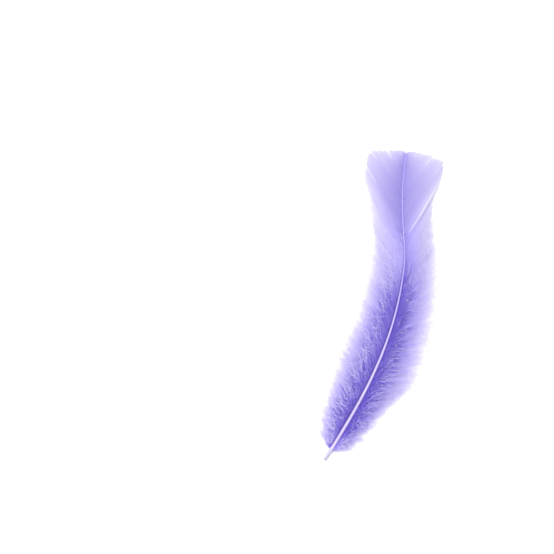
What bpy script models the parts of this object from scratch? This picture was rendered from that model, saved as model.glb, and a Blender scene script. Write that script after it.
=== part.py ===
"""A dyed rooster body feather, lying on its underside. It grew as one piece, so it is one solid.

The shaft runs from the end of the quill, at low Y, to the squared tip at high Y. It bows to +X
and arches off the surface. Locks of down grow from both sides of its lower two thirds, and the barbs
beyond them hook together into one smooth vane.

Metres, +Z up. The origin is the middle of the footprint, on the surface the feather lies on.
"""

import math

import bmesh
import bpy
import numpy as np
from mathutils import Matrix, Vector

MM = 0.001
UP = Vector((0, 0, 1))
LEFT, RIGHT = -1, 1

# Driving sizes of the shaft
CHORD = 133.5 * MM  # straight from the quill's end to the end of the shaft
BOW = 12.7 * MM  # how far the shaft bows to +X
# Where along the chord the bow is taken back, and by how much, so that the tip runs straight
BOW_EASES = (0.64, 0.95)
BOW_TAKEN_BACK = 0.5
ARCH = 3.2 * MM  # how far its middle stands off the surface
QUILL_HEIGHT = 0.56 * MM
TIP_HEIGHT = 0.5 * MM
# (share of the chord, radius)
SHAFT_RADII = (
    (0.00, 0.62 * MM),
    (0.04, 0.84 * MM),
    (0.12, 0.78 * MM),
    (0.50, 0.50 * MM),
    (0.80, 0.30 * MM),
    (1.00, 0.22 * MM),
)
SHAFT_RINGS = 30
SHAFT_SIDES = 8

# Where a lock of down ends, from its root: (share of the chord at the root, sideways, forwards)
DOWN_REACH = {
    LEFT: (
        (0.035, 8.0 * MM, 2.5 * MM),
        (0.070, 12.5 * MM, 4.0 * MM),
        (0.110, 15.2 * MM, 5.5 * MM),
        (0.170, 16.4 * MM, 7.5 * MM),
        (0.300, 16.0 * MM, 10.0 * MM),
        (0.420, 15.6 * MM, 11.5 * MM),
        (0.550, 14.6 * MM, 13.0 * MM),
        (0.660, 13.6 * MM, 14.0 * MM),
        (0.720, 13.0 * MM, 14.5 * MM),
    ),
    RIGHT: (
        (0.035, 8.0 * MM, 2.5 * MM),
        (0.070, 13.0 * MM, 4.5 * MM),
        (0.110, 16.5 * MM, 6.0 * MM),
        (0.170, 17.8 * MM, 8.0 * MM),
        (0.300, 16.8 * MM, 10.5 * MM),
        (0.420, 16.6 * MM, 12.0 * MM),
        (0.550, 13.8 * MM, 14.0 * MM),
        (0.660, 10.8 * MM, 15.5 * MM),
        (0.720, 9.6 * MM, 17.0 * MM),
    ),
}
LONGEST_DOWN = 17.8 * MM  # sideways
# Where a barb of the vane ends: (share of the chord at the root, X from the chord, Y from the quill)
VANE_ENDS = {
    LEFT: (
        (0.700, -12.2 * MM, 113.0 * MM),
        (0.745, -14.5 * MM, 119.3 * MM),
        (0.790, -15.5 * MM, 124.7 * MM),
        (0.833, -15.5 * MM, 129.0 * MM),
        (0.865, -14.9 * MM, 131.2 * MM),
        (0.900, -9.7 * MM, 132.7 * MM),
        (0.930, -5.9 * MM, 133.5 * MM),
        (0.965, -2.6 * MM, 134.3 * MM),
        (0.995, -0.6 * MM, 134.4 * MM),
    ),
    RIGHT: (
        (0.700, 16.6 * MM, 122.2 * MM),
        (0.745, 17.2 * MM, 127.3 * MM),
        (0.790, 17.0 * MM, 131.9 * MM),
        (0.833, 16.0 * MM, 134.8 * MM),
        (0.880, 10.5 * MM, 135.4 * MM),
        (0.930, 5.2 * MM, 135.5 * MM),
        (0.975, 1.9 * MM, 135.0 * MM),
        (0.995, 0.6 * MM, 134.5 * MM),
    ),
}
BEND_AT = 0.45  # share of a barb's length at which it turns into line with its end

# Locks of down
LOCKS_EACH_SIDE = 25
LOCK_LEAVES = math.radians(52)  # angle between the shaft and a lock's root
LOCK_WIDTH = 4.7 * MM
LOCK_THICKNESS = 3.2 * MM
LOCK_RISE = 3.0 * MM  # how far a lock lifts before it droops
LOCK_END_HEIGHT = -0.3 * MM
LOCK_SIDES = 6
# (share of the lock's length, share of its full width, share of its full thickness)
LOCK_RINGS = (
    (0.00, 0.30, 0.30),
    (0.24, 0.80, 0.95),
    (0.48, 1.00, 1.00),
    (0.72, 0.86, 0.80),
    (0.90, 0.46, 0.50),
)
LOCK_LENGTH_VARIES = 0.07
LOCK_RISE_VARIES = 0.9 * MM
LOCK_END_VARIES = 0.4 * MM

# The web of barb roots that the locks grow out of
WEB_THICKNESS = 1.9 * MM
WEB_RIBS = 14
# (share of a lock's length, share of the web's full thickness)
WEB_STOPS = ((0.28, 1.0), (0.56, 0.9), (0.82, 0.55))

# The smooth vane
VANE_LEAVES = math.radians(36)
VANE_THICKNESS = 0.6 * MM
VANE_RISE = 0.35 * MM
VANE_END_HEIGHT = 0.22 * MM
VANE_RIBS = 42
# (share of a barb's length, share of the vane's full thickness)
VANE_STOPS = ((0.35, 1.0), (0.7, 0.95), (1.0, 0.85))
# V-shaped splits between the vane's barbs: (root's share of the chord, depth as a share of length)
SPLIT_HALF_WIDTH = 0.009
SPLITS = {
    LEFT: ((0.735, 0.12), (0.79, 0.24), (0.862, 0.10), (0.915, 0.16)),
    RIGHT: ((0.748, 0.20), (0.812, 0.08), (0.871, 0.13), (0.943, 0.10)),
}

SHAFT_COLOUR = (0.78, 0.72, 0.95, 1)
DOWN_COLOUR = (0.33, 0.26, 0.84, 1)
VANE_COLOUR = (0.45, 0.39, 0.90, 1)


def smoothstep(low, high, value):
    share = min(max((value - low) / (high - low), 0), 1)
    return share * share * (3 - 2 * share)


def table_value(table, share):
    """The columns of a table of (share, value, ...) rows, read between its rows."""
    rows = np.array(table)
    return [float(np.interp(share, rows[:, 0], column)) for column in rows[:, 1:].T]


def shaft_radius(share):
    return table_value(SHAFT_RADII, share)[0]


def shaft_point(share):
    """The shaft's centre at this share of the chord."""
    bow = BOW * math.sin(math.pi * share)
    bow *= 1 - BOW_TAKEN_BACK * smoothstep(*BOW_EASES, share)
    height = QUILL_HEIGHT * (1 - share) + TIP_HEIGHT * share
    height += ARCH * math.sin(math.pi * share)
    return Vector((bow, CHORD * share, height))


def shaft_directions(share):
    """The level direction along the shaft, and the one to its right."""
    step = 0.004
    forwards = shaft_point(share + step) - shaft_point(share - step)
    forwards.z = 0
    forwards.normalize()
    return forwards, forwards.cross(UP)


def barb_path(root_share, side, end, leaves, rise, end_height):
    """A function of 0 to 1 that runs along a barb, from the shaft's centre to the barb's end."""
    forwards, right = shaft_directions(root_share)
    root = shaft_point(root_share)
    end = Vector((end.x, end.y, end_height))
    bend_length = BEND_AT * (end - root).length
    leaving = forwards * math.cos(leaves) + right * (side * math.sin(leaves))
    bend = root + leaving * bend_length
    bend.z = root.z + rise

    def at(share):
        rest = 1 - share
        return root * rest**2 + bend * (2 * share * rest) + end * share**2

    return at


def ring_frame(path, share):
    """The centre, the level sideways direction and the upward direction of a ring on a path."""
    step = 0.02
    along = (path(share + step) - path(share - step)).normalized()
    sideways = along.cross(UP).normalized()
    return path(share), sideways, sideways.cross(along)


def add_ring(mesh, frame, width, thickness, sides):
    centre, sideways, upward = frame
    ring = []
    for corner in range(sides):
        turn = 2 * math.pi * corner / sides
        offset = sideways * (math.cos(turn) * width / 2)
        offset += upward * (math.sin(turn) * thickness / 2)
        ring.append(mesh.verts.new(centre + offset))
    return ring


def close_rings(mesh, rings, end=None):
    """Joins rings into a closed skin, which runs to a point where end is given."""
    for lower, upper in zip(rings, rings[1:]):
        for corner in range(len(lower)):
            after = (corner + 1) % len(lower)
            mesh.faces.new((lower[corner], lower[after], upper[after], upper[corner]))
    mesh.faces.new(reversed(rings[0]))
    if end is None:
        mesh.faces.new(rings[-1])
        return
    point = mesh.verts.new(end)
    for corner, vertex in enumerate(rings[-1]):
        mesh.faces.new((vertex, rings[-1][(corner + 1) % len(rings[-1])], point))


def new_object(name, mesh, material, collection):
    """An object of this bmesh, with its faces pointing out."""
    bmesh.ops.recalc_face_normals(mesh, faces=mesh.faces)
    data = bpy.data.meshes.new(name)
    mesh.to_mesh(data)
    mesh.free()
    data.materials.append(material)
    obj = bpy.data.objects.new(name, data)
    collection.objects.link(obj)
    return obj


def make_shaft(material, collection):
    """The tapered shaft, whose lowest rings are the bare quill."""
    mesh = bmesh.new()
    rings = []
    for step in range(SHAFT_RINGS):
        share = step / (SHAFT_RINGS - 1)
        width = 2 * shaft_radius(share)
        frame = ring_frame(shaft_point, share)
        rings.append(add_ring(mesh, frame, width, width, SHAFT_SIDES))
    close_rings(mesh, rings)
    return new_object("feather", mesh, material, collection)


def down_size(root_share):
    """How far the down on the right reaches here, against its furthest, moved halfway to 1."""
    return 0.5 + 0.5 * table_value(DOWN_REACH[RIGHT], root_share)[0] / LONGEST_DOWN


def down_path(root_share, side, rise, end_height, length_share=1.0):
    """The line along a lock of down."""
    sideways, ahead = table_value(DOWN_REACH[side], root_share)
    forwards, right = shaft_directions(root_share)
    reach = right * (side * sideways) + forwards * ahead
    end = shaft_point(root_share) + reach * length_share
    return barb_path(root_share, side, end, LOCK_LEAVES, rise, end_height)


def make_lock(name, root_share, side, number, material, collection):
    """One lock of down: a flattened spindle that lifts from the shaft and droops to a point."""
    size = down_size(root_share)
    path = down_path(
        root_share,
        side,
        LOCK_RISE * size + LOCK_RISE_VARIES * math.sin(number * 2.1 - side),
        LOCK_END_HEIGHT + LOCK_END_VARIES * math.sin(number * 1.7),
        1 + LOCK_LENGTH_VARIES * math.sin(number * 2.4 + side),
    )
    width = LOCK_WIDTH * size
    thickness = LOCK_THICKNESS * size
    mesh = bmesh.new()
    rings = [
        add_ring(mesh, ring_frame(path, at), width * wide, thickness * thick, LOCK_SIDES)
        for at, wide, thick in LOCK_RINGS
    ]
    close_rings(mesh, rings, end=path(1))
    return new_object(name, mesh, material, collection)


def add_rib(mesh, left_path, right_path, stops, thickness):
    """A ring around two facing barbs: over the left one and the right one, then back below them."""
    line = [(left_path(at), thick) for at, thick in reversed(stops)]
    line += [(right_path(0), 1)]
    line += [(right_path(at), thick) for at, thick in stops]
    above = [mesh.verts.new(point + UP * (thickness * thick / 2)) for point, thick in line]
    below = [mesh.verts.new(point - UP * (thickness * thick / 2)) for point, thick in line]
    return above + below[::-1]


def make_web(material, collection):
    """The mat of barb roots along the shaft."""
    mesh = bmesh.new()
    ribs = []
    for root_share in root_shares(DOWN_REACH[LEFT], WEB_RIBS):
        size = down_size(root_share)
        rise = LOCK_RISE * size
        left, right = (down_path(root_share, side, rise, 0) for side in (LEFT, RIGHT))
        ribs.append(add_rib(mesh, left, right, WEB_STOPS, WEB_THICKNESS * size))
    close_rings(mesh, ribs)
    return new_object("web", mesh, material, collection)


def vane_path(root_share, side):
    """The line along a barb of the vane, cut short where the vane's edge is split."""
    length = 1
    for place, depth in SPLITS[side]:
        nearness = 1 - abs(root_share - place) / SPLIT_HALF_WIDTH
        length -= depth * max(nearness, 0)
    whole = Vector((*table_value(VANE_ENDS[side], root_share), 0))
    end = shaft_point(root_share).lerp(whole, length)
    return barb_path(root_share, side, end, VANE_LEAVES, VANE_RISE, VANE_END_HEIGHT)


def make_vane(material, collection):
    """The smooth vane: one thin plate from the outer barbs on the left to those on the right."""
    mesh = bmesh.new()
    ribs = []
    for root_share in root_shares(VANE_ENDS[LEFT], VANE_RIBS):
        left, right = (vane_path(root_share, side) for side in (LEFT, RIGHT))
        ribs.append(add_rib(mesh, left, right, VANE_STOPS, VANE_THICKNESS))
    close_rings(mesh, ribs)
    return new_object("vane", mesh, material, collection)


def make_floor_cutter(material, collection):
    """A block below the surface, which trims what would sink into it."""
    mesh = bmesh.new()
    size = 2 * CHORD
    place = Matrix.Translation((0, CHORD / 2, -size / 2)) @ Matrix.Scale(size, 4)
    bmesh.ops.create_cube(mesh, size=1, matrix=place)
    cutter = new_object("below_the_surface", mesh, material, collection)
    cutter.display_type = "WIRE"
    cutter.hide_render = True
    return cutter


def root_shares(table, count):
    """Evenly spaced roots over the stretch that a table covers."""
    return np.linspace(table[0][0], table[-1][0], count)


def make_material(name, colour, roughness):
    material = bpy.data.materials.new(name)
    material.use_nodes = True
    shader = material.node_tree.nodes["Principled BSDF"]
    shader.inputs["Base Color"].default_value = colour
    shader.inputs["Roughness"].default_value = roughness
    shader.inputs["Metallic"].default_value = 0
    material.diffuse_color = colour
    return material


def connected(vertex):
    """Every vertex that edges join to this one, with itself."""
    found = {vertex}
    to_search = [vertex]
    while to_search:
        here = to_search.pop()
        for edge in here.link_edges:
            other = edge.other_vert(here)
            if other not in found:
                found.add(other)
                to_search.append(other)
    return found


def fill_pockets(mesh):
    """Keeps the outer skin, so that the pockets closed in between neighbouring locks are solid."""
    outermost = max(mesh.verts, key=lambda vertex: vertex.co.y)
    skin = connected(outermost)
    bmesh.ops.delete(mesh, geom=[v for v in mesh.verts if v not in skin], context="VERTS")


def settle(obj):
    """Applies the modifiers and puts the middle of the footprint at the origin."""
    evaluated = obj.evaluated_get(bpy.context.evaluated_depsgraph_get())
    data = bpy.data.meshes.new_from_object(evaluated)
    obj.modifiers.clear()
    obj.data = data
    mesh = bmesh.new()
    mesh.from_mesh(data)
    fill_pockets(mesh)
    places = np.array([vertex.co for vertex in mesh.verts])
    middle = (places.min(0) + places.max(0)) / 2
    shift = (-middle[0], -middle[1], -places[:, 2].min())
    bmesh.ops.translate(mesh, verts=mesh.verts, vec=shift)
    mesh.to_mesh(data)
    mesh.free()


def main():
    for obj in list(bpy.data.objects):
        bpy.data.objects.remove(obj)
    scene = bpy.context.scene.collection
    shaft_finish = make_material("shaft", SHAFT_COLOUR, 0.35)
    down_finish = make_material("down", DOWN_COLOUR, 0.85)
    vane_finish = make_material("vane", VANE_COLOUR, 0.6)

    grown = bpy.data.collections.new("grown_from_the_shaft")
    grown.hide_render = True
    scene.children.link(grown)
    make_web(down_finish, grown)
    make_vane(vane_finish, grown)
    for side, word in ((LEFT, "left"), (RIGHT, "right")):
        for number, share in enumerate(root_shares(DOWN_REACH[side], LOCKS_EACH_SIDE)):
            make_lock(f"lock_{word}_{number}", share, side, number, down_finish, grown)

    feather = make_shaft(shaft_finish, scene)
    join = feather.modifiers.new("grown together", "BOOLEAN")
    join.operation = "UNION"
    join.operand_type = "COLLECTION"
    join.collection = grown
    join.material_mode = "TRANSFER"
    cutter = make_floor_cutter(down_finish, scene)
    trim = feather.modifiers.new("lies on the surface", "BOOLEAN")
    trim.operation = "DIFFERENCE"
    trim.object = cutter
    settle(feather)
    feather.data.shade_smooth()
    feather.data.set_sharp_from_angle(angle=math.radians(35))

    for helper in [*grown.objects, cutter]:
        bpy.data.objects.remove(helper)


main()
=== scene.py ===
"""A dyed rooster body feather on a pale floor: its shaft, smooth vane and down, barb by barb.

Everything is in the frame of the solid feather: metres, +Y from the quill to the tip, +Z up. The
chord is the straight line from the quill's end to the tip, and a share is a share of it where
nothing else is said.
"""

import math

import bpy
import numpy as np
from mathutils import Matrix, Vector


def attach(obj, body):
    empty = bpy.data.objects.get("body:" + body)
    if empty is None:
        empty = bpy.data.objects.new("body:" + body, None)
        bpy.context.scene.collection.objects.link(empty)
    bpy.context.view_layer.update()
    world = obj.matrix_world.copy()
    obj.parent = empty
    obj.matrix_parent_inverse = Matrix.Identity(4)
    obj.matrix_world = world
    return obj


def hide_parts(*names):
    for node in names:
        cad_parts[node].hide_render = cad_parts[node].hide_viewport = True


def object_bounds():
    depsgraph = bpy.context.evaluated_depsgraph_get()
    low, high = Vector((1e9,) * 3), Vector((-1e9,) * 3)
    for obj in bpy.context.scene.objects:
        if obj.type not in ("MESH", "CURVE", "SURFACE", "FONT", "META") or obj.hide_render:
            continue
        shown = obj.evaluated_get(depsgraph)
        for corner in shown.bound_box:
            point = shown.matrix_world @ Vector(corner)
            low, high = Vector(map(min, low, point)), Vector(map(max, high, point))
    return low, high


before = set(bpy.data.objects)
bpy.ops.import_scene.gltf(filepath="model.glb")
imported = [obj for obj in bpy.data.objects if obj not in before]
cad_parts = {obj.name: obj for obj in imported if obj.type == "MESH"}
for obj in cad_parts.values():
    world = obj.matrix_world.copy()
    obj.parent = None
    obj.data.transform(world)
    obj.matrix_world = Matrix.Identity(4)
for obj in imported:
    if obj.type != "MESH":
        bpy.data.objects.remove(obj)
SOLID_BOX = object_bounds()

bl_info = {
    "name": "Rooster feather",
    "version": (1, 0, 0),
    "blender": (4, 5, 0),
    "location": "View3D > Sidebar > Feather",
    "description": "Builds a dyed body feather barb by barb, with its floor, light and camera",
    "category": "Add Mesh",
}

MM = 0.001
LEFT, RIGHT = -1, 1
SIDE_WORDS = {LEFT: "left", RIGHT: "right"}
UP = np.array((0.0, 0.0, 1.0))
BODY = "root"
SOLID = "feather"
FLOOR_GAP = 0.02 * MM
BAKE_MAP = "OFBake"
# How near the map comes to the edges of its square
MAP_EDGE = 0.001
WHITE = (1, 1, 1)

# The line of the shaft, as in the solid: it bows to the right, less so near the tip, and arches
QUILL_END = np.array((-7.425 * MM, -67.660 * MM))
CHORD = 133.5 * MM
BOW = 12.7 * MM
BOW_EASES = (0.64, 0.95)
BOW_TAKEN_BACK = 0.5
ARCH = 3.2 * MM
QUILL_HEIGHT = 0.56 * MM
TIP_HEIGHT = 0.5 * MM
# (share of the chord, radius)
SHAFT_RADII = (
    (0.00, 0.62 * MM),
    (0.04, 0.84 * MM),
    (0.12, 0.78 * MM),
    (0.50, 0.50 * MM),
    (0.80, 0.30 * MM),
    (1.00, 0.22 * MM),
)
SHAFT_RINGS, SHAFT_SIDES = 220, 28
# The hollow in the quill's end, from its floor outwards: (share of the quill's radius, depth)
QUILL_HOLLOW = ((0.10, 1.9 * MM), (0.66, 1.6 * MM), (0.66, 0))
# The groove along the underside: share of the radius, width in radians, where it sets in
GROOVE_DEPTH = 0.2
GROOVE_WIDTH = 0.32
GROOVE_EASES = (0.03, 0.15)
# Streaks in the horn, for each metre across, along and across
STREAKS = (9000, 260, 9000)

# Where the down ends, from its root: (share of the chord at the root, sideways, forwards)
DOWN_REACH = {
    LEFT: (
        (0.035, 8.0 * MM, 2.5 * MM),
        (0.070, 12.5 * MM, 4.0 * MM),
        (0.110, 15.2 * MM, 5.5 * MM),
        (0.170, 16.4 * MM, 7.5 * MM),
        (0.300, 16.0 * MM, 10.0 * MM),
        (0.420, 15.6 * MM, 11.5 * MM),
        (0.550, 14.6 * MM, 13.0 * MM),
        (0.660, 13.6 * MM, 14.0 * MM),
        (0.720, 13.0 * MM, 14.5 * MM),
    ),
    RIGHT: (
        (0.035, 8.0 * MM, 2.5 * MM),
        (0.070, 13.0 * MM, 4.5 * MM),
        (0.110, 16.5 * MM, 6.0 * MM),
        (0.170, 17.8 * MM, 8.0 * MM),
        (0.300, 16.8 * MM, 10.5 * MM),
        (0.420, 16.6 * MM, 12.0 * MM),
        (0.550, 13.8 * MM, 14.0 * MM),
        (0.660, 10.8 * MM, 15.5 * MM),
        (0.720, 9.6 * MM, 17.0 * MM),
    ),
}
LONGEST_DOWN = 17.8 * MM
# Where a barb of the vane ends: (share of the chord at the root, X and Y from the quill's end)
VANE_ENDS = {
    LEFT: (
        (0.700, -12.2 * MM, 113.0 * MM),
        (0.745, -14.5 * MM, 119.3 * MM),
        (0.790, -15.5 * MM, 124.7 * MM),
        (0.833, -15.5 * MM, 129.0 * MM),
        (0.865, -14.9 * MM, 131.2 * MM),
        (0.900, -9.7 * MM, 132.7 * MM),
        (0.930, -5.9 * MM, 133.5 * MM),
        (0.965, -2.6 * MM, 134.3 * MM),
        (0.995, -0.6 * MM, 134.4 * MM),
    ),
    RIGHT: (
        (0.700, 16.6 * MM, 122.2 * MM),
        (0.745, 17.2 * MM, 127.3 * MM),
        (0.790, 17.0 * MM, 131.9 * MM),
        (0.833, 16.0 * MM, 134.8 * MM),
        (0.880, 10.5 * MM, 135.4 * MM),
        (0.930, 5.2 * MM, 135.5 * MM),
        (0.975, 1.9 * MM, 135.0 * MM),
        (0.995, 0.6 * MM, 134.5 * MM),
    ),
}
# Every barb bends at this share of its length, from the angle at which it leaves the shaft
BEND_AT = 0.45
DOWN_LEAVES = math.radians(52)
VANE_LEAVES = math.radians(36)

# Roots of the vane's barbs: from where they hook into each other, up to the tip
CLOSE_FROM = {LEFT: 0.742, RIGHT: 0.727}
CLOSE_TO = 0.995
# Roots of the loose barbs: they start here, and overlap the vane by this share of the chord
LOOSE_FROM = 0.60
LOOSE_OVERLAP = 0.008
VANE_SEED = 40
# Splits in the vane: (root's share of the chord, share of the barb's length where it opens, gap)
SPLITS = {
    LEFT: (
        (0.735, 0.80, 0.9 * MM),
        (0.790, 0.70, 0.9 * MM),
        (0.862, 0.84, 0.8 * MM),
        (0.915, 0.76, 0.9 * MM),
    ),
    RIGHT: (
        (0.731, 0.12, 0.5 * MM),
        (0.812, 0.86, 0.7 * MM),
        (0.871, 0.80, 0.9 * MM),
        (0.943, 0.82, 0.7 * MM),
    ),
}
LONG_SPLIT = SPLITS[RIGHT][0][0]
# Shares of the chord over which barbs lean away from a split, and are paler beside it
SPLIT_LEANS = 0.006
SPLIT_PALES = 0.0035

# The pieces of the down: (word, shares of the chord between which its barbs have their roots)
DOWN_PIECES = (("lower", 0.035, 0.34), ("upper", 0.34, 0.69))
# Their roots are kept between these shares, apart from the topmost
DOWN_ROOTS = (0.036, 0.72)
DOWN_STATIONS = 18
DOWN_SEED = 24
# How steeply the down may rise beside the shaft, which lies open between its two sides
OPEN_SLOPE = 2.5
# Steps of this share of a whole never repeat, and fill it evenly
GOLDEN = 0.6180339887
# Share of the barbules that sit on the tufts
TUFTED = 0.22
# The lowest down has this share of its full length, and is swept forwards
SHORTEST = {LEFT: 0.92, RIGHT: 0.80}
SWEPT = {LEFT: math.radians(10), RIGHT: math.radians(25)}
# The tufts: the longest as a share of the down's reach, how far they flatten by the vane, and how
# much further out the tone of their ends may be, a painted highlight on their tops
LONGEST_TUFT = {LEFT: 0.80, RIGHT: 0.58}
TUFT_FLATTENS = {LEFT: 0.4, RIGHT: 0.65}
TUFT_END_HIGHLIGHT = {LEFT: 0.46, RIGHT: 0.36}
# The left side is dyed less deeply by the shaft, and keeps its deep colour further out
DEEP_PALER = {LEFT: 0.15, RIGHT: 0.0}
HALFWAY_PALER = {LEFT: 0.38, RIGHT: 1.0}
# Shares of the chord between which the colours of the down turn into those near the vane
DOWN_TURNS = {LEFT: (0.50, 0.66), RIGHT: (0.60, 0.69)}

# The stage
FLOOR_HALF = 3.0
FLOOR_BELOW = 0.1 * MM
LAMP_SIZE = 0.7
LAMP_PLACE = (-0.42, 0.30, 0.95)
LAMP_TILT = (math.radians(-17), math.radians(-23), 0)
LENS, SENSOR = 85, 36
VIEW_CENTRE = (-46.55 * MM, 1.58 * MM, 2 * MM)
VIEW_TURN = math.radians(14.84)


def linear(red, green, blue):
    """A colour of 0 to 255 as seen on a screen, in the linear numbers that shaders take."""
    return tuple((channel / 255) ** 2.2 for channel in (red, green, blue))


def colour_property(name, description, default):
    return bpy.props.FloatVectorProperty(
        name=name, description=description, default=default, subtype="COLOR", size=3, min=0, max=1
    )


def length_property(name, description, default):
    return bpy.props.FloatProperty(
        name=name, description=description, default=default, unit="LENGTH", min=0, precision=5
    )


def count_property(name, description, default, least):
    return bpy.props.IntProperty(name=name, description=description, default=default, min=least)


class ShaftSettings(bpy.types.PropertyGroup):
    """Colours of the shaft, from the quill's end to the tip"""

    end_colour: colour_property("Quill's end", "Bare end of the quill", linear(178, 176, 200))
    quill_colour: colour_property(
        "Quill", "Dyed quill, where it is thickest", linear(203, 191, 238)
    )
    middle_colour: colour_property("Middle", "Shaft between the down", linear(184, 171, 238))
    tip_colour: colour_property("Tip", "Fine shaft in the vane", linear(154, 144, 216))


class VaneSettings(bpy.types.PropertyGroup):
    """Colours and barbs of the vane and of the loose barbs below it"""

    # Painted shadow: the dark line that the shaft casts where the barbs leave it
    painted_shadow_line_colour: colour_property(
        "Along the shaft", "Fine line where barbs leave", linear(122, 110, 190)
    )
    root_colour: colour_property("By the shaft", "Vane next to the shaft", linear(160, 150, 220))
    middle_colour: colour_property("Middle", "Vane halfway out", linear(178, 169, 226))
    # Partly the thin edge's own paler colour and partly a painted glow of light through it
    edge_and_glow_colour: colour_property("Edge", "Thin outer edge", linear(218, 214, 238))
    barb_spacing: length_property("Barb spacing", "Between the roots of two barbs", 0.30 * MM)
    barbule_spacing: length_property(
        "Barbule spacing", "Between two barbules of a barb", 0.10 * MM
    )
    barbule_length: length_property("Barbule length", "Hooked side branches of a barb", 0.6 * MM)
    loose_colour: colour_property(
        "Loose barbs", "Unhooked barbs below the vane", linear(193, 184, 243)
    )
    loose_edge_colour: colour_property(
        "Loose ends", "Ends of the unhooked barbs", linear(238, 235, 250)
    )
    loose_barbs: count_property(
        "Loose barbs", "Unhooked barbs on each side, between vane and down", 120, 2
    )


class DownSettings(bpy.types.PropertyGroup):
    """Colours and barbs of the down"""

    # Painted shadow: the dark line that the shaft casts on the down where the barbs leave it
    painted_shadow_line_colour: colour_property(
        "Along the shaft", "Fine line where barbs leave", linear(94, 80, 168)
    )
    deep_colour: colour_property("By the shaft", "Down next to the shaft", linear(145, 126, 227))
    middle_colour: colour_property("Middle", "Down halfway out", linear(208, 199, 251))
    pale_colour: colour_property("Outer", "Down near its ends", linear(227, 222, 251))
    # Partly the fine ends' own paler colour and partly a painted glow of light through them
    edge_and_glow_colour: colour_property("Edge", "Ends of the down", linear(236, 233, 252))
    barbs: count_property("Barbs", "Barbs of down on each side", 1100, 10)
    tufts: count_property("Tufts", "Short curled barbs on each side", 700, 10)
    barbule_length: length_property("Barbule length", "Fine side branches of a barb", 1.9 * MM)
    barbule_width: length_property("Barbule width", "At its root", 0.034 * MM)
    barbules: count_property(
        "Barbules", "Fine side branches in each of the four pieces of down", 146000, 10
    )


class StageSettings(bpy.types.PropertyGroup):
    """The floor, the light and how much the picture shows"""

    floor_colour: colour_property("Floor", "Colour of the floor", (0.92, 0.92, 0.92))
    view_width: length_property(
        "View width", "Width of floor that the picture shows", 232.7 * MM
    )
    lamp_power: bpy.props.FloatProperty(
        name="Lamp",
        description="Power of the soft light overhead",
        default=11.5,
        unit="POWER",
        min=0,
    )
    sky_strength: bpy.props.FloatProperty(
        name="Sky", description="Strength of the even light all round", default=0.8, min=0
    )


# The lines that barbs follow


def smoothstep(low, high, value):
    """Rises smoothly from 0 at low to 1 at high."""
    share = np.clip((value - low) / (high - low), 0, 1)
    return share * share * (3 - 2 * share)


def between(first, second, part):
    """A colour this part of the way from the first to the second."""
    return tuple(a * (1 - part) + b * part for a, b in zip(first, second))


def table_column(table, share, column):
    """A column of a table, read between its rows at these shares."""
    rows = np.array(table)
    return np.interp(share, rows[:, 0], rows[:, column])


def unit(vectors):
    """The same directions, with length 1."""
    least = 1e-12
    return vectors / np.maximum(np.linalg.norm(vectors, axis=-1, keepdims=True), least)


def shaft_points(share):
    """Centres of the shaft at these shares of the chord, one row each."""
    share = np.atleast_1d(share)
    bow = BOW * np.sin(np.pi * share) * (1 - BOW_TAKEN_BACK * smoothstep(*BOW_EASES, share))
    height = QUILL_HEIGHT * (1 - share) + TIP_HEIGHT * share + ARCH * np.sin(np.pi * share)
    return np.stack([QUILL_END[0] + bow, QUILL_END[1] + CHORD * share, height], axis=1)


def shaft_directions(share):
    """Level directions along the shaft and to its right, one row each."""
    step = 0.004
    forwards = shaft_points(share + step) - shaft_points(share - step)
    forwards[:, 2] = 0
    forwards = unit(forwards)
    return forwards, np.stack([forwards[:, 1], -forwards[:, 0], 0 * forwards[:, 2]], axis=1)


def barb_lines(share, side, end, leaves, rise, at):
    """Points along barbs, (barbs, stations, 3). end holds the barbs' ends, with their heights."""
    forwards, right = shaft_directions(share)
    root = shaft_points(share)
    leaves = np.broadcast_to(leaves, share.shape)[:, None]
    length = np.linalg.norm(end - root, axis=1, keepdims=True)
    bend = root + (forwards * np.cos(leaves) + right * (side * np.sin(leaves))) * BEND_AT * length
    bend[:, 2] = root[:, 2] + rise
    at = at[None, :, None]
    rest = 1 - at
    return root[:, None] * rest**2 + bend[:, None] * (2 * at * rest) + end[:, None] * at**2


def down_ends(share, side, length_share):
    """Level ends of barbs of down, at these shares of their full reach."""
    forwards, right = shaft_directions(share)
    sideways = table_column(DOWN_REACH[side], share, 1)[:, None]
    ahead = table_column(DOWN_REACH[side], share, 2)[:, None]
    reach = right * (side * sideways) + forwards * ahead
    return shaft_points(share) + reach * length_share[:, None]


def vane_ends(share, side):
    """Level ends of barbs of the vane."""
    x = QUILL_END[0] + table_column(VANE_ENDS[side], share, 1)
    y = QUILL_END[1] + table_column(VANE_ENDS[side], share, 2)
    return np.stack([x, y, 0 * x], axis=1)


def turned(vectors, angle):
    """Level vectors turned by these angles, anticlockwise from above."""
    x, y = vectors[:, 0], vectors[:, 1]
    cos, sin = np.cos(angle), np.sin(angle)
    return np.stack([x * cos - y * sin, x * sin + y * cos, vectors[:, 2]], axis=1)


def beside_shaft(places):
    """The same places, lowered where they would cross over the shaft, so that it lies open."""
    shaft_side = 0.8  # share of the shaft's radius
    flat = places.reshape(-1, 3).copy()
    share = np.clip((flat[:, 1] - QUILL_END[1]) / CHORD, 0, 1)
    centre = shaft_points(share)
    apart = np.abs(flat[:, 0] - centre[:, 0]) - shaft_side * table_column(SHAFT_RADII, share, 1)
    flat[:, 2] = np.minimum(flat[:, 2], centre[:, 2] + np.maximum(apart, 0) * OPEN_SLOPE)
    return flat.reshape(places.shape)


def directions_along(points):
    """Directions of these lines, at each of their points."""
    return unit(np.gradient(points, axis=1))


def line_lengths(points):
    return np.linalg.norm(np.diff(points, axis=1), axis=-1).sum(axis=1)


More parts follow.
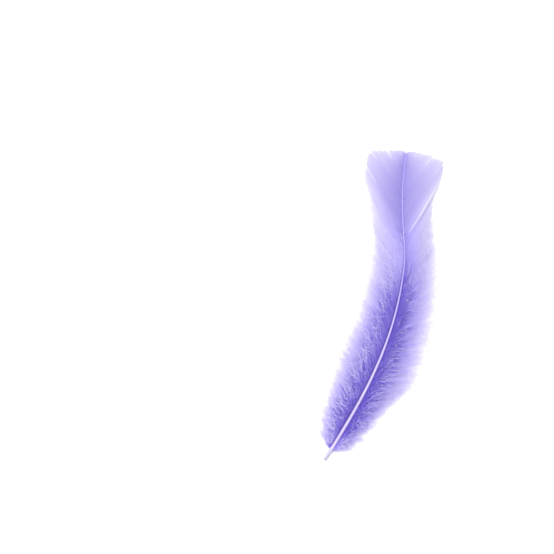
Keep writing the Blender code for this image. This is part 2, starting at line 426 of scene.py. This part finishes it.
def stations_at(count, where):
    """The station before each of these shares of a line, and the part of a step beyond it."""
    steps = count - 1
    step = np.minimum((where * steps).astype(int), steps - 1)
    return step, where * steps - step


def along_lines(points, line, where):
    """Places and directions on these lines, at these shares of their stations."""
    step, part = stations_at(points.shape[1], where)
    low, high = points[line, step], points[line, step + 1]
    return low + (high - low) * part[:, None], unit(high - low)


def out_on_lines(out, line, where):
    """How far out these lines are, at these shares of their stations."""
    step, part = stations_at(out.shape[1], where)
    return out[line, step] * (1 - part) + out[line, step + 1] * part


# Meshes of many strands


class Strands:
    """Gathers ribbons and slivers, then makes one mesh of them.

    Their map holds how far out a point lies, and its root's share of the chord.
    """

    def __init__(self):
        self.places, self.maps, self.faces = [], [], []
        self.count = 0

    def add(self, places, maps, faces):
        self.places.append(places)
        self.maps.append(maps)
        self.faces.append(faces + self.count)
        self.count += len(places)

    def add_ribbons(self, points, across, out, share):
        """A ribbon on each line of points. across is half its width, as vectors."""
        half_width = 0.002  # on the map
        lines, stations, _ = points.shape
        places = np.stack([points - across, points + across], axis=2).reshape(-1, 3)
        shares = np.repeat(share, stations)[:, None] + (-half_width, half_width)
        maps = np.stack([np.repeat(out.reshape(-1), 2), shares.reshape(-1)], axis=1)
        first = (np.arange(lines)[:, None] * stations + np.arange(stations - 1)).reshape(-1, 1) * 2
        self.add(places, maps, first + np.array([[0, 1, 3, 2]]))

    def add_slivers(self, roots, tips, across, out, share):
        """A fine triangle from each root to its tip."""
        half_width, further, ahead = 0.003, 0.05, 0.006  # on the map
        places = np.stack([roots - across, roots + across, tips], axis=1).reshape(-1, 3)
        us = np.stack([out - half_width, out + half_width, out + further], axis=1).reshape(-1)
        vs = np.stack([share, share, share + ahead], axis=1).reshape(-1)
        self.add(places, np.stack([us, vs], axis=1), np.arange(len(places)).reshape(-1, 3))

    def make(self, name, material):
        """The piece, kept off the floor and within the solid's box."""
        places = inside_box(np.concatenate(self.places))
        maps = np.clip(np.concatenate(self.maps), MAP_EDGE, 1 - MAP_EDGE)
        corners = np.concatenate([part.ravel() for part in self.faces])
        sizes = np.concatenate([np.full(len(part), part.shape[1]) for part in self.faces])
        starts = np.concatenate([[0], np.cumsum(sizes)[:-1]])
        mesh = bpy.data.meshes.new(name)
        mesh.vertices.add(len(places))
        mesh.vertices.foreach_set("co", places.astype(np.float32).ravel())
        mesh.loops.add(len(corners))
        mesh.loops.foreach_set("vertex_index", corners.astype(np.int32))
        mesh.polygons.add(len(sizes))
        mesh.polygons.foreach_set("loop_start", starts.astype(np.int32))
        mesh.polygons.foreach_set("loop_total", sizes.astype(np.int32))
        mesh.update(calc_edges=True)
        layer = mesh.uv_layers.new(name=BAKE_MAP)
        layer.data.foreach_set("uv", maps[corners].astype(np.float32).ravel())
        mesh.materials.append(material)
        return add_piece(name, mesh)


def inside_box(places):
    """The same places, kept off the floor and within the solid's box."""
    low, high = (np.array(corner) for corner in SOLID_BOX)
    low[2] += FLOOR_GAP
    return np.clip(places, low, high)


def add_piece(name, mesh):
    """An object of this mesh, which takes the place of the solid feather."""
    old = bpy.data.objects.get(name)
    if old is not None:
        bpy.data.objects.remove(old)
    piece = bpy.data.objects.new(name, mesh)
    bpy.context.scene.collection.objects.link(piece)
    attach(piece, BODY)
    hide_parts(SOLID)
    return piece


# Materials

# A Mix node has several sockets of the same names: these are the numbers of its colour sockets
MIX_FIRST, MIX_SECOND, MIX_RESULT = 6, 7, 2
# Nearly all of the noise lies between these values
NOISE_LOW, NOISE_HIGH = 0.3, 0.7


def new_material(name):
    """A material, its nodes and its shader."""
    material = bpy.data.materials.new(name)
    material.use_nodes = True
    tree = material.node_tree
    return material, tree, tree.nodes["Principled BSDF"]


def ramp_of(tree, stops, value):
    """A colour ramp with these (place, colour) stops, fed by a socket."""
    node = tree.nodes.new("ShaderNodeValToRGB")
    ramp = node.color_ramp
    while len(ramp.elements) < len(stops):
        ramp.elements.new(0.5)
    for element, (place, colour) in zip(ramp.elements, stops):
        element.position = place
        element.color = (*colour, 1)
    tree.links.new(value, node.inputs["Fac"])
    return node.outputs["Color"]


def range_of(tree, value, source, target, interpolation="LINEAR"):
    """A socket's value, taken from the source range to the target range."""
    node = tree.nodes.new("ShaderNodeMapRange")
    node.interpolation_type = interpolation
    node.inputs["From Min"].default_value, node.inputs["From Max"].default_value = source
    node.inputs["To Min"].default_value, node.inputs["To Max"].default_value = target
    tree.links.new(value, node.inputs["Value"])
    return node.outputs["Result"]


def noise_of(tree, places, scale):
    """Soft noise over these places, with this scale along each of their axes."""
    stretch = tree.nodes.new("ShaderNodeMapping")
    stretch.inputs["Scale"].default_value = scale
    tree.links.new(places, stretch.inputs["Vector"])
    noise = tree.nodes.new("ShaderNodeTexNoise")
    noise.inputs["Scale"].default_value = 1
    noise.inputs["Detail"].default_value = 3
    tree.links.new(stretch.outputs["Vector"], noise.inputs["Vector"])
    return noise.outputs["Fac"]


def bake_map(tree):
    node = tree.nodes.new("ShaderNodeUVMap")
    node.uv_map = BAKE_MAP
    return node.outputs["UV"]


def map_sockets(tree):
    """The bake map's two numbers: how far out from the shaft, and the share of the chord.

    On the shaft itself they go round it and along it.
    """
    split = tree.nodes.new("ShaderNodeSeparateXYZ")
    tree.links.new(bake_map(tree), split.inputs["Vector"])
    return split.outputs["X"], split.outputs["Y"]


def mix_node(tree, first, second):
    node = tree.nodes.new("ShaderNodeMix")
    node.data_type = "RGBA"
    tree.links.new(first, node.inputs[MIX_FIRST])
    tree.links.new(second, node.inputs[MIX_SECOND])
    return node


def multiplied(tree, first, second):
    """The first colour, tinted by the second."""
    node = mix_node(tree, first, second)
    node.blend_type = "MULTIPLY"
    node.inputs["Factor"].default_value = 1
    return node.outputs[MIX_RESULT]


def crossfaded(tree, first, second, amount):
    """The first colour where the amount is 0, and the second where it is 1."""
    node = mix_node(tree, first, second)
    tree.links.new(amount, node.inputs["Factor"])
    return node.outputs[MIX_RESULT]


def blotches(tree, size, low, high):
    """Soft blotches of about this size, where the dye took unevenly, from low to high."""
    noise = noise_of(tree, bake_map(tree), (LONGEST_DOWN / size, CHORD / size, 1))
    return range_of(tree, noise, (NOISE_LOW, NOISE_HIGH), (low, high))


def strand_material(
    name, stops, upper_stops, change, seen_through, roughness, blotch_size, deepest
):
    """Dyed keratin strands that let light through.

    Their colour goes from the shaft outwards by stops, and turns into that of upper_stops between
    the two shares of the chord in change. deepest is the tint of the deepest blotches of dye.
    """
    uneven_roughness = 0.12
    specular = 0.25
    material, tree, shader = new_material(name)
    out, share = map_sockets(tree)
    amount = range_of(tree, share, change, (0, 1), "SMOOTHSTEP")
    dye = crossfaded(tree, ramp_of(tree, stops, out), ramp_of(tree, upper_stops, out), amount)
    tint = ramp_of(tree, ((0, deepest), (1, WHITE)), blotches(tree, blotch_size, 0, 1))
    colour = multiplied(tree, dye, tint)
    tree.links.new(colour, shader.inputs["Base Color"])
    rough = blotches(
        tree, blotch_size / 3, roughness - uneven_roughness, roughness + uneven_roughness
    )
    tree.links.new(rough, shader.inputs["Roughness"])
    shader.inputs["Specular IOR Level"].default_value = specular
    through = tree.nodes.new("ShaderNodeBsdfTranslucent")
    tree.links.new(colour, through.inputs["Color"])
    both = tree.nodes.new("ShaderNodeMixShader")
    both.inputs["Fac"].default_value = seen_through
    tree.links.new(shader.outputs["BSDF"], both.inputs[1])
    tree.links.new(through.outputs["BSDF"], both.inputs[2])
    tree.links.new(both.outputs["Shader"], tree.nodes["Material Output"].inputs["Surface"])
    return material


class FEATHER_OT_shaft(bpy.types.Operator):
    """Builds the shaft: a tapered tube with a fine groove and an open, pale quill end"""

    bl_idname = "feather.shaft"
    bl_label = "Shaft"

    def execute(self, context):
        rings = self.rings()
        index = np.arange(len(rings))[:, None] * SHAFT_SIDES + np.arange(SHAFT_SIDES)
        after = np.roll(index, -1, axis=1)
        faces = np.stack([index[:-1], after[:-1], after[1:], index[1:]], axis=-1).reshape(-1, 4)
        mesh = bpy.data.meshes.new("shaft")
        mesh.from_pydata(inside_box(rings.reshape(-1, 3)).tolist(), [], faces.tolist())
        self.map_rings(mesh, len(rings))
        mesh.materials.append(self.horn(context.scene.feather_shaft))
        mesh.shade_smooth()
        piece = add_piece("shaft", mesh)
        return {"FINISHED"}

    def rings(self):
        """Rings of places: the quill's hollow from its floor outwards, then the skin to the tip."""
        share = np.linspace(0, 1, SHAFT_RINGS)
        centre = shaft_points(share)
        along = unit(np.gradient(centre, axis=0))
        right = unit(np.cross(along, UP))
        above = np.cross(right, along)
        radius = table_column(SHAFT_RADII, share, 1)
        turn = np.arange(SHAFT_SIDES) / SHAFT_SIDES * 2 * np.pi
        outwards = right[:, None] * np.cos(turn)[:, None] + above[:, None] * np.sin(turn)[:, None]
        # The top is smooth and round; a shallow groove runs along the underside
        underside = np.pi * 1.5
        dip = GROOVE_DEPTH * np.exp(-(((turn - underside) / GROOVE_WIDTH) ** 2))
        groove = 1 - dip * smoothstep(*GROOVE_EASES, share)[:, None]
        skin = centre[:, None] + outwards * (radius[:, None] * groove)[:, :, None]
        hollow = [
            centre[0] + outwards[0] * radius[0] * size + along[0] * depth
            for size, depth in QUILL_HOLLOW
        ]
        return np.concatenate([hollow, skin])

    def map_rings(self, mesh, rings):
        """Maps the faces between the rings as a sheet, round the shaft and along it."""
        around = (np.arange(SHAFT_SIDES) / SHAFT_SIDES)[:, None]
        along = np.linspace(0, 1, rings)[:, None, None]
        uv = np.empty((rings - 1, SHAFT_SIDES, 4, 2))
        uv[:, :, [0, 3], 0] = around
        uv[:, :, [1, 2], 0] = around + 1 / SHAFT_SIDES
        uv[:, :, [0, 1], 1] = along[:-1]
        uv[:, :, [2, 3], 1] = along[1:]
        layer = mesh.uv_layers.new(name=BAKE_MAP)
        layer.data.foreach_set("uv", uv.astype(np.float32).ravel())

    def horn(self, settings):
        """Pale, glossy, lightly streaked horn, greyer at the quill's end, deeper at the tip."""
        darkest_streak = (0.93, 0.92, 0.96)
        glossiest, dullest = 0.22, 0.38
        bump_strength, bump_depth = 0.15, 0.03 * MM
        coat, coat_roughness = 0.3, 0.15
        material, tree, shader = new_material("shaft")
        _, along = map_sockets(tree)
        stops = (
            (0.0, settings.end_colour),
            (0.03, settings.end_colour),
            (0.06, settings.quill_colour),
            (0.30, settings.quill_colour),
            (0.52, settings.middle_colour),
            (0.68, settings.tip_colour),
            (1.0, settings.tip_colour),
        )
        places = tree.nodes.new("ShaderNodeTexCoord").outputs["Object"]
        streaks = noise_of(tree, places, STREAKS)
        tint = ramp_of(tree, ((NOISE_LOW, darkest_streak), (NOISE_HIGH, WHITE)), streaks)
        colour = multiplied(tree, ramp_of(tree, stops, along), tint)
        tree.links.new(colour, shader.inputs["Base Color"])
        rough = range_of(tree, streaks, (0, 1), (glossiest, dullest))
        tree.links.new(rough, shader.inputs["Roughness"])
        bump = tree.nodes.new("ShaderNodeBump")
        bump.inputs["Strength"].default_value = bump_strength
        bump.inputs["Distance"].default_value = bump_depth
        tree.links.new(streaks, bump.inputs["Height"])
        tree.links.new(bump.outputs["Normal"], shader.inputs["Normal"])
        shader.inputs["Coat Weight"].default_value = coat
        shader.inputs["Coat Roughness"].default_value = coat_roughness
        return material


def split_shift(share, side, at):
    """How far barbs part at the vane's splits, along the shaft, and how much paler they are."""
    palest = 0.6
    shift = np.zeros((len(share), len(at)))
    pale = np.zeros((len(share), len(at)))
    for place, opens, gap in SPLITS[side]:
        away = share - place
        hold = np.exp(-np.abs(away) / SPLIT_LEANS)
        shift += (np.sign(away) * hold)[:, None] * gap * smoothstep(opens, 1.05, at)
        near = np.exp(-((away / SPLIT_PALES) ** 2))[:, None]
        pale = np.maximum(pale, palest * near * smoothstep(opens - 0.1, opens + 0.15, at))
    return shift, pale


class FEATHER_OT_vane(bpy.types.Operator):
    """Builds the smooth vane, flat barbs side by side with barbules that bridge the gaps, and the
    loose barbs below it"""

    bl_idname = "feather.vane"
    bl_label = "Vane"

    def execute(self, context):
        settings = context.scene.feather_vane
        for side in (LEFT, RIGHT):
            word = SIDE_WORDS[side]
            material = self.dyed(settings, f"vane_{word}")
            rng = np.random.default_rng(VANE_SEED + side)
            strands = Strands()
            self.add_close_barbs(strands, settings, side, rng)
            strands.make(f"vane_{word}", material)
            strands = Strands()
            self.add_loose_barbs(strands, settings, side, rng)
            strands.make(f"loose_barbs_{word}", material)
        return {"FINISHED"}

    def dyed(self, settings, name):
        """Thin dyed vane with a painted shadow line along the shaft, paler outwards with a painted
        glow at its edge, and paler still where its barbs are loose.
        """
        line, root = settings.painted_shadow_line_colour, settings.root_colour
        middle, edge = settings.middle_colour, settings.edge_and_glow_colour
        loose, loose_edge = settings.loose_colour, settings.loose_edge_colour
        # Both sets start with the painted shadow line beside the shaft
        close_stops = (
            (0.0, line),
            (0.035, root),
            (0.4, middle),
            (0.8, between(middle, edge, 0.6)),
            (1.0, edge),
        )
        loose_stops = (
            (0.0, line),
            (0.04, between(root, loose, 0.4)),
            (0.2, loose),
            (0.6, between(loose, loose_edge, 0.7)),
            (1.0, loose_edge),
        )
        return strand_material(
            name,
            loose_stops,
            close_stops,
            change=(0.70, 0.80),
            seen_through=0.35,
            roughness=0.45,
            blotch_size=6.0 * MM,
            deepest=linear(250, 247, 254),
        )

    def add_close_barbs(self, strands, settings, side, rng):
        """Flat barbs side by side, which part only at the splits."""
        height, rise, split_rise = 0.30 * MM, 0.35 * MM, 0.25 * MM
        narrowest, widest = 0.10 * MM, 0.45 * MM
        lean = math.radians(14)
        at = np.linspace(0, 1, 22)
        first = CLOSE_FROM[side]
        count = int((CLOSE_TO - first) * CHORD / settings.barb_spacing)
        share = np.linspace(first, CLOSE_TO, count) + rng.normal(0, 0.0002, count)
        end = vane_ends(share, side)
        end[:, 2] = height + rng.normal(0, 0.03 * MM, count)
        root = shaft_points(share)
        ragged = 1 - 0.012 * np.abs(rng.normal(0, 1, count)) - 0.014 * (rng.random(count) < 0.15)
        end[:, :2] = root[:, :2] + (end[:, :2] - root[:, :2]) * ragged[:, None]
        points = barb_lines(share, side, end, VANE_LEAVES, rise, at)
        forwards, _ = shaft_directions(share)
        shift, pale = split_shift(share, side, at)
        points += forwards[:, None] * shift[:, :, None]
        points[:, :, 2] += pale * split_rise
        across = unit(np.cross(directions_along(points), UP))
        # Each barb leans a little, so that the next one lies over its edge
        across = across * math.cos(lean) + UP * (math.sin(lean) * side)
        apart = np.abs(np.sum(np.gradient(points, axis=0) * across, axis=-1))
        width = np.clip(apart, narrowest, widest) * (0.68 - 0.14 * smoothstep(0.8, 1.0, at))
        width *= 1 - 0.7 * smoothstep(0.96, 1.0, at)
        tone = rng.normal(0, 0.035, count)[:, None] * smoothstep(0.0, 0.1, at)
        out = at[None] + tone + pale
        strands.add_ribbons(points, across * width[:, :, None], out, share)
        counts = (line_lengths(points) / settings.barbule_spacing).astype(int)
        barbs = points, out, share
        self.add_barbules(strands, settings, barbs, counts, rng, angle=36, longer=1.0)

    def add_loose_barbs(self, strands, settings, side, rng):
        """Barbs that part from each other as they leave the shaft, and fade into the down."""
        lowest, highest, rise = 0.15, 0.7, 0.7 * MM
        half_width = 0.06 * MM
        closer = 0.68  # spacing of the barbules, set against the vane's
        at = np.linspace(0, 1, 20)
        count = settings.loose_barbs
        share = np.linspace(LOOSE_FROM, CLOSE_FROM[side] + LOOSE_OVERLAP, count)
        share += rng.normal(0, 0.0006, count)
        whole = smoothstep(LOOSE_FROM, 0.745, share)[:, None]
        end = down_ends(share, side, np.ones(count)) * (1 - whole) + vane_ends(share, side) * whole
        root = shaft_points(share)
        length = rng.uniform(0.72, 1.0, count)
        end[:, :2] = root[:, :2] + (end[:, :2] - root[:, :2]) * length[:, None]
        end[:, 2] = rng.uniform(lowest, highest, count) * MM
        downy = (1 - smoothstep(LOOSE_FROM, 0.74, share)) * 0.6
        leaves = VANE_LEAVES + (DOWN_LEAVES - VANE_LEAVES) * downy
        leaves += np.radians(rng.normal(0, 2, count))
        points = barb_lines(share, side, end, leaves, rise, at)
        forwards, _ = shaft_directions(share)
        drift = rng.normal(0, 0.5, (count, 1)) * MM * at[None] ** 2
        points += forwards[:, None] * drift[:, :, None]
        across = unit(np.cross(directions_along(points), UP))
        width = half_width * (1 - 0.7 * at)
        out = at[None] * length[:, None]
        out = out + rng.normal(0, 0.04, (count, 1)) * smoothstep(0.0, 0.1, at)
        if side == RIGHT:
            # The barbs along the long split catch the light
            near = np.exp(-(((share - LONG_SPLIT) / 0.003) ** 2))[:, None]
            out += 0.5 * near * smoothstep(0.05, 0.25, at)
        strands.add_ribbons(points, across * width[None, :, None], out, share)
        counts = (line_lengths(points) / (settings.barbule_spacing * closer)).astype(int)
        barbs = points, out, share
        self.add_barbules(strands, settings, barbs, counts, rng, angle=44, longer=1.6)

    def add_barbules(self, strands, settings, barbs, counts, rng, angle, longer):
        """So many barbules on both sides of each barb, at about this angle in degrees."""
        half_width = 0.018 * MM
        points, out, share = barbs
        for turn in (LEFT, RIGHT):
            barb = np.repeat(np.arange(len(share)), counts)
            where = rng.random(len(barb))
            roots, along = along_lines(points, barb, where)
            sideways = unit(np.cross(along, UP))
            angles = np.radians(rng.normal(angle, 6, len(barb)))[:, None]
            aim = along * np.cos(angles) + sideways * (turn * np.sin(angles))
            aim[:, 2] += rng.normal(0.0, 0.05, len(barb))
            reach = settings.barbule_length * longer * rng.uniform(0.7, 1.15, len(barb))
            reach *= 1 - 0.35 * where
            across = unit(np.cross(aim, UP)) * half_width
            tips = roots + aim * reach[:, None]
            strands.add_slivers(roots, tips, across, out_on_lines(out, barb, where), share[barb])


def down_roots(low, high, count, rng):
    """Shares of the chord where this many barbs of down have their roots."""
    return np.clip(np.linspace(low, high, count) + rng.normal(0, 0.003, count), *DOWN_ROOTS)


def down_size(share, flattened):
    """How high the down stands, as a share of its highest, and flattened by a share of that."""
    reach = table_column(DOWN_REACH[RIGHT], share, 1)
    return (0.5 + 0.5 * reach / LONGEST_DOWN) * (1 - flattened)


def down_reach(share, side):
    """The down is shorter and rounder at its lowest end, most of all on the right."""
    return SHORTEST[side] + (1 - SHORTEST[side]) * smoothstep(0.06, 0.22, share)


def down_tone(share, at):
    """How much further out the tone of the down is, at its lowest end and towards the vane."""
    paler = 0.24 * (1 - smoothstep(0.045, 0.11, share)) + 0.18 * smoothstep(0.44, 0.61, share)
    return paler[:, None] * smoothstep(0.05, 0.3, at)


def waved(points, share, at, waves, curls, rng):
    """The same barbs, with waves and curls at their ends of up to these sizes in mm."""
    most, uneven_height = 1.3, 0.25
    count = len(share)
    forwards, _ = shaft_directions(share)
    phase = at[None] * rng.uniform(0.8, 1.8, (count, 1)) + rng.random((count, 1))
    wave = np.sin(2 * np.pi * phase) * at * rng.uniform(0.1, waves, (count, 1)) * MM
    # The lowest barbs don't curl back over the bare quill
    least = most * smoothstep(0.03, 0.12, share)[:, None]
    curl = 0.2 + curls * np.clip(rng.normal(0, 1, (count, 1)), -least, most)
    curl = curl * MM * at[None] ** 2.5
    points = points + forwards[:, None] * (wave + curl)[:, :, None]
    points[:, :, 2] += rng.normal(0, uneven_height, (count, 1)) * MM * at[None] ** 2
    return points


def aimed(along, angle, spread, rng):
    """Directions at these angles to the barbs, on both sides, rolled by spread degrees."""
    count = len(along)
    sideways = unit(np.cross(along, UP))
    above = np.cross(sideways, along)
    roll = np.radians(rng.normal(0, spread, count))[:, None]
    turn = np.where(rng.random(count) < 0.5, LEFT, RIGHT)[:, None]
    outwards = sideways * (turn * np.cos(roll)) + above * np.sin(roll)
    return along * np.cos(angle)[:, None] + outwards * np.sin(angle)[:, None]


class FEATHER_OT_down(bpy.types.Operator):
    """Builds the down: soft curved barbs in tufts, each with fine barbules all round it"""

    bl_idname = "feather.down"
    bl_label = "Down"

    def execute(self, context):
        settings = context.scene.feather_down
        whole = DOWN_PIECES[-1][2] - DOWN_PIECES[0][1]
        tufted = int(settings.barbules * TUFTED)
        for side in (LEFT, RIGHT):
            material = self.dyed(settings, side)
            for number, (word, low, high) in enumerate(DOWN_PIECES):
                rng = np.random.default_rng(DOWN_SEED + 10 * number + side)
                strands = Strands()
                part = (high - low) / whole
                barbs = self.long_barbs(side, low, high, int(settings.barbs * part), rng)
                tufts = self.tuft_barbs(side, low, high, int(settings.tufts * part), rng)
                for points, out, share, width in (barbs, tufts):
                    points = beside_shaft(points)
                    across = unit(np.cross(directions_along(points), UP))
                    strands.add_ribbons(points, across * width[None, :, None], out, share)
                self.add_barbules(strands, settings, barbs, settings.barbules - tufted, rng)
                self.add_fine_barbules(strands, settings, tufts, tufted, rng)
                strands.make(f"down_{SIDE_WORDS[side]}_{word}", material)
        return {"FINISHED"}

    def dyed(self, settings, side):
        """Down that is dyed deep by the shaft, with a painted shadow line along it, and fades to
        its ends, where a painted glow partly pales it; it is paler by the vane.
        """
        line, middle = settings.painted_shadow_line_colour, settings.middle_colour
        pale, edge = settings.pale_colour, settings.edge_and_glow_colour
        deep = between(settings.deep_colour, middle, DEEP_PALER[side])
        halfway = between(deep, middle, HALFWAY_PALER[side])
        # Both sets start with the painted shadow line beside the shaft and end in the edge colour,
        # which is partly a painted glow
        stops = (
            (0.0, line),
            (0.025, line),
            (0.07, deep),
            (0.37, between(deep, halfway, 0.15)),
            (0.50, halfway),
            (0.69, pale),
            (1.0, edge),
        )
        upper_stops = (
            (0.0, line),
            (0.05, between(deep, middle, 0.72)),
            (0.3, between(middle, pale, 0.2)),
            (0.7, pale),
            (1.0, edge),
        )
        return strand_material(
            f"down_{SIDE_WORDS[side]}",
            stops,
            upper_stops,
            change=DOWN_TURNS[side],
            seen_through=0.4,
            roughness=0.7,
            blotch_size=2.2 * MM,
            deepest=linear(236, 231, 249),
        )

    def long_barbs(self, side, low, high, count, rng):
        """Barbs that reach for the outline, thinning out towards it."""
        half_width, highest = 0.03 * MM, 3.0 * MM
        at = np.linspace(0, 1, DOWN_STATIONS)
        share = down_roots(low, high, count, rng)
        # The topmost spring from among the loose barbs
        share += 0.045 * rng.random(count) ** 2 * smoothstep(0.60, 0.69, share)
        # Barbs side by side differ in length in even steps, so that the outline is soft
        step = (np.arange(count) * GOLDEN) % 1
        length = down_reach(share, side) * (0.48 + 0.64 * step**0.85)
        size = down_size(share, 0.65 * smoothstep(0.56, 0.68, share))
        root = shaft_points(share)
        swept = SWEPT[side] * smoothstep(0.02, 0.13, share) * (1 - smoothstep(0.12, 0.30, share))
        end = root + turned(down_ends(share, side, length) - root, swept * side)
        rise = highest * size * rng.uniform(-0.5, 0.55, count)
        end[:, 2] = rng.uniform(0.15, 1.9, count) * MM * size
        leaves = DOWN_LEAVES + np.radians(rng.normal(-8, 7, count).clip(-22, 6))
        points = barb_lines(share, side, end, leaves, rise, at)
        points = waved(points, share, at, 0.4, 0.6, rng)
        out = at[None] * length[:, None]
        out = out + rng.normal(0, 0.09, (count, 1)) * smoothstep(0.03, 0.2, at)
        out += down_tone(share, at)
        return points, out, share, half_width * (1 - 0.8 * at)

    def tuft_barbs(self, side, low, high, count, rng):
        """Short barbs that come out on top of the others and curl forwards, with a painted
        highlight at their ends.
        """
        half_width, highest = 0.04 * MM, 3.0 * MM
        steeper = math.radians(24)
        at = np.linspace(0, 1, DOWN_STATIONS)
        share = down_roots(low, high, count, rng)
        length = down_reach(share, side) * rng.uniform(0.16, LONGEST_TUFT[side], count)
        size = down_size(share, TUFT_FLATTENS[side] * smoothstep(0.58, 0.69, share))
        root = shaft_points(share)
        end = down_ends(share, side, length)
        end = root + turned(end - root, np.radians(rng.uniform(-4, 34, count)) * side)
        end[:, 2] = (2.2 + rng.uniform(0.0, 3.4, count) * (1.1 - length)) * MM * size + 0.5 * MM
        rise = highest * size * rng.uniform(0.75, 1.25, count)
        leaves = DOWN_LEAVES - steeper + np.radians(rng.normal(0, 18, count).clip(-30, 30))
        points = barb_lines(share, side, end, leaves, rise, at)
        points = waved(points, share, at, 1.3, 3.0, rng)
        # Painted highlight: the ends of the tufts, on top of the down, are made paler as if lit
        # from above
        painted_highlight = rng.uniform(0.02, TUFT_END_HIGHLIGHT[side], (count, 1)) * smoothstep(0.35, 0.9, at)
        out = at[None] * length[:, None] * 0.9 + painted_highlight
        out += down_tone(share, at)
        return points, out, share, half_width * (1 - 0.8 * at)

    def add_barbules(self, strands, settings, barbs, count, rng):
        """Long loose barbules all round the barbs, wider spread towards their ends."""
        barb = self.picked(barbs, count, rng)
        where = rng.random(count) ** 1.3
        roots, along = along_lines(barbs[0], barb, where)
        angle = np.radians(46 + 14 * where + rng.normal(0, 15, count))
        aim = aimed(along, angle, 40, rng)
        reach = settings.barbule_length * rng.uniform(0.5, 1.25, count)
        reach *= 0.8 + 0.2 * np.sin(np.pi * where**0.7)
        self.add_turned(strands, settings, barbs, (barb, where, roots, aim, reach), 0.35, rng)

    def add_fine_barbules(self, strands, settings, barbs, count, rng):
        """Short close barbules that make the outer half of a tuft into a fine plume, pale with its
        painted highlight.
        """
        barb = self.picked(barbs, count, rng)
        where = 1 - 0.75 * rng.random(count) ** 1.3
        roots, along = along_lines(barbs[0], barb, where)
        aim = aimed(along, np.radians(rng.normal(21, 7, count)), 30, rng)
        reach = settings.barbule_length * rng.uniform(0.25, 0.5, count)
        self.add_turned(strands, settings, barbs, (barb, where, roots, aim, reach), 0.2, rng)

    def picked(self, barbs, count, rng):
        """The barbs that so many barbules sit on, the longer ones more often."""
        lengths = line_lengths(barbs[0])
        return rng.choice(len(lengths), count, p=lengths / lengths.sum())

    def add_turned(self, strands, settings, barbs, barbules, uneven, rng):
        """Adds these barbules, turned unevenly about their own lines."""
        _, out, share, _ = barbs
        barb, where, roots, aim, reach = barbules
        flat = unit(np.cross(aim, UP) + rng.normal(0, uneven, aim.shape))
        across = flat * (settings.barbule_width / 2)
        out = out_on_lines(out, barb, where)
        roots, tips = beside_shaft(roots), beside_shaft(roots + aim * reach[:, None])
        strands.add_slivers(roots, tips, across, out, share[barb])


class FEATHER_OT_stage(bpy.types.Operator):
    """Lays the pale floor and sets up the soft light and the camera overhead"""

    bl_idname = "feather.stage"
    bl_label = "Stage"

    def execute(self, context):
        scene = context.scene
        settings = scene.feather_stage
        scene.view_settings.view_transform = "Standard"
        self.make_floor(scene, settings)
        self.make_light(scene, settings)
        self.make_camera(scene, settings)
        return {"FINISHED"}

    def make_floor(self, scene, settings):
        mesh = bpy.data.meshes.new("floor")
        corners = [
            (x * FLOOR_HALF, y * FLOOR_HALF, 0) for x, y in ((-1, -1), (1, -1), (1, 1), (-1, 1))
        ]
        mesh.from_pydata(corners, [], [(0, 1, 2, 3)])
        material, _, shader = new_material("floor")
        shader.inputs["Base Color"].default_value = (*settings.floor_colour, 1)
        shader.inputs["Roughness"].default_value = 0.9
        shader.inputs["Specular IOR Level"].default_value = 0.1
        mesh.materials.append(material)
        floor = bpy.data.objects.new("floor", mesh)
        floor.location.z = -FLOOR_BELOW
        scene.collection.objects.link(floor)

    def make_light(self, scene, settings):
        """Even light all round, and one large soft lamp."""
        world = bpy.data.worlds.new("even light")
        world.use_nodes = True
        background = world.node_tree.nodes["Background"]
        background.inputs["Color"].default_value = (*WHITE, 1)
        background.inputs["Strength"].default_value = settings.sky_strength
        scene.world = world
        lamp = bpy.data.lights.new("soft light", "AREA")
        lamp.shape = "DISK"
        lamp.size = LAMP_SIZE
        lamp.energy = settings.lamp_power
        holder = bpy.data.objects.new("soft light", lamp)
        holder.location = LAMP_PLACE
        holder.rotation_euler = LAMP_TILT
        scene.collection.objects.link(holder)

    def make_camera(self, scene, settings):
        """Straight above the floor, turned so that the feather leans to the right."""
        camera = bpy.data.cameras.new("camera")
        camera.lens = LENS
        camera.sensor_width = SENSOR
        distance = settings.view_width * LENS / SENSOR
        x, y, z = VIEW_CENTRE
        holder = bpy.data.objects.new("camera", camera)
        holder.location = (x, y, z + distance)
        holder.rotation_euler = (0, 0, VIEW_TURN)
        scene.collection.objects.link(holder)
        scene.camera = holder


class VIEW3D_PT_feather(bpy.types.Panel):
    """Lists the feather's pieces and their settings"""

    bl_label = "Rooster feather"
    bl_space_type = "VIEW_3D"
    bl_region_type = "UI"
    bl_category = "Feather"

    def draw(self, context):
        for operator, group in PARTS:
            box = self.layout.box()
            box.operator(operator)
            settings = getattr(context.scene, group)
            for name in settings.__annotations__:
                box.prop(settings, name)


PARTS = (
    ("feather.shaft", "feather_shaft"),
    ("feather.vane", "feather_vane"),
    ("feather.down", "feather_down"),
    ("feather.stage", "feather_stage"),
)
GROUPS = {
    "feather_shaft": ShaftSettings,
    "feather_vane": VaneSettings,
    "feather_down": DownSettings,
    "feather_stage": StageSettings,
}
CLASSES = (
    *GROUPS.values(),
    FEATHER_OT_shaft,
    FEATHER_OT_vane,
    FEATHER_OT_down,
    FEATHER_OT_stage,
    VIEW3D_PT_feather,
)


def register():
    for one in CLASSES:
        bpy.utils.register_class(one)
    for name, group in GROUPS.items():
        setattr(bpy.types.Scene, name, bpy.props.PointerProperty(type=group))


def unregister():
    for name in GROUPS:
        delattr(bpy.types.Scene, name)
    for one in reversed(CLASSES):
        bpy.utils.unregister_class(one)


def main():
    register()
    bpy.ops.feather.shaft()
    bpy.ops.feather.vane()
    bpy.ops.feather.down()
    bpy.ops.feather.stage()


if __name__ == "__main__":
    main()
